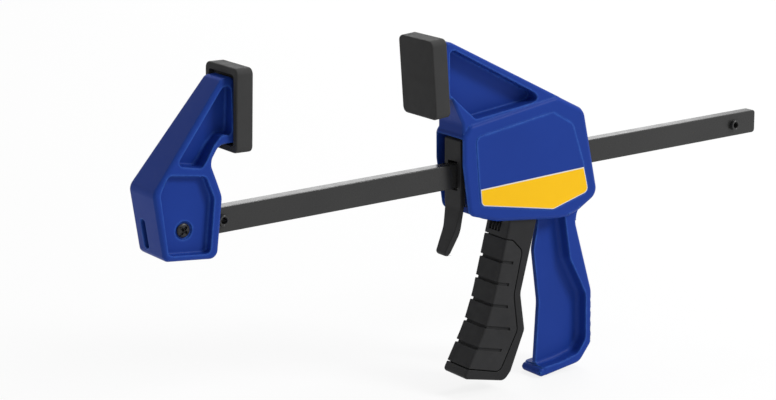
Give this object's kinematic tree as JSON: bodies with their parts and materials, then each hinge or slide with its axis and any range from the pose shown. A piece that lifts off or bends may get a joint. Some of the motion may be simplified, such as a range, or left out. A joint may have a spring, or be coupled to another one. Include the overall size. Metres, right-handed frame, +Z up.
{
  "type": "quick release bar clamp",
  "caption": "One-handed quick release bar clamp: a fixed jaw on a flat steel bar, a sliding head with squeeze trigger and release lever, and soft cupped pads.",
  "frame": {"origin": "on the bar's underside, under the middle of the fixed pad's face, in the clamp's middle plane", "axes": "+X along the bar from the fixed jaw to its free end, +Z up towards the pads, +Y across the clamp"},
  "size_m": [0.3685, 0.027, 0.1815],
  "materials": {
    "black_steel": "satin black oxide",
    "blue_plastic": "satin moulded nylon",
    "black_screw": "black oxide",
    "zinc_steel": "zinc plated",
    "spring_steel": "drawn wire",
    "pad_rubber": "matt soft plastic",
    "grip_rubber": "matt soft grip",
    "black_plastic": "fine moulded texture",
    "yellow_label": "printed film"
  },
  "bodies": {
    "clamp_bar": {"bar": "black_steel", "inner_stop_pin": "black_steel", "end_stop_pin": "black_steel", "fixed_jaw": "blue_plastic", "jaw_screw": "black_screw", "jaw_nut": "zinc_steel", "fixed_pad": "pad_rubber"},
    "head": {"head_body": "blue_plastic", "left_side_plate": "blue_plastic", "right_side_plate": "blue_plastic", "left_stripe": "yellow_label", "right_stripe": "yellow_label", "moving_pad": "pad_rubber", "pivot_pin": "zinc_steel", "drive_spring": "spring_steel", "brake_spring": "spring_steel"},
    "squeeze": {"trigger": "black_plastic", "trigger_grip": "grip_rubber"},
    "drive": {"drive_plate": "zinc_steel"},
    "release": {"brake_plate": "zinc_steel", "release_lever": "black_plastic"}
  },
  "joints": [
    {"name": "head_slide", "type": "slide", "parent": "clamp_bar", "child": "head", "axis": [1, 0, 0], "range_m": [-0.097, 0.102]},
    {"name": "trigger_squeeze", "type": "hinge", "parent": "head", "child": "squeeze", "pos_m": [0.1498, 0, 0.019], "axis": [0, -1, 0], "range_deg": [0, 20], "stiffness_Nm_per_rad": 0.5, "springref_deg": -5.73},
    {"name": "drive_slide", "type": "slide", "parent": "head", "child": "drive", "axis": [1, 0, 0], "range_m": [0, 0.0084], "deforming": ["drive_spring"]},
    {"name": "release_tilt", "type": "hinge", "parent": "head", "child": "release", "pos_m": [0.1223, 0, 0.0265], "axis": [0, -1, 0], "range_deg": [0, 6], "stiffness_Nm_per_rad": 0.5, "springref_deg": -5.73, "deforming": ["brake_spring"]}
  ],
  "couplings": [
    {"joint": "drive_slide", "follows": "trigger_squeeze", "m_per_rad": 0.024}
  ]
}
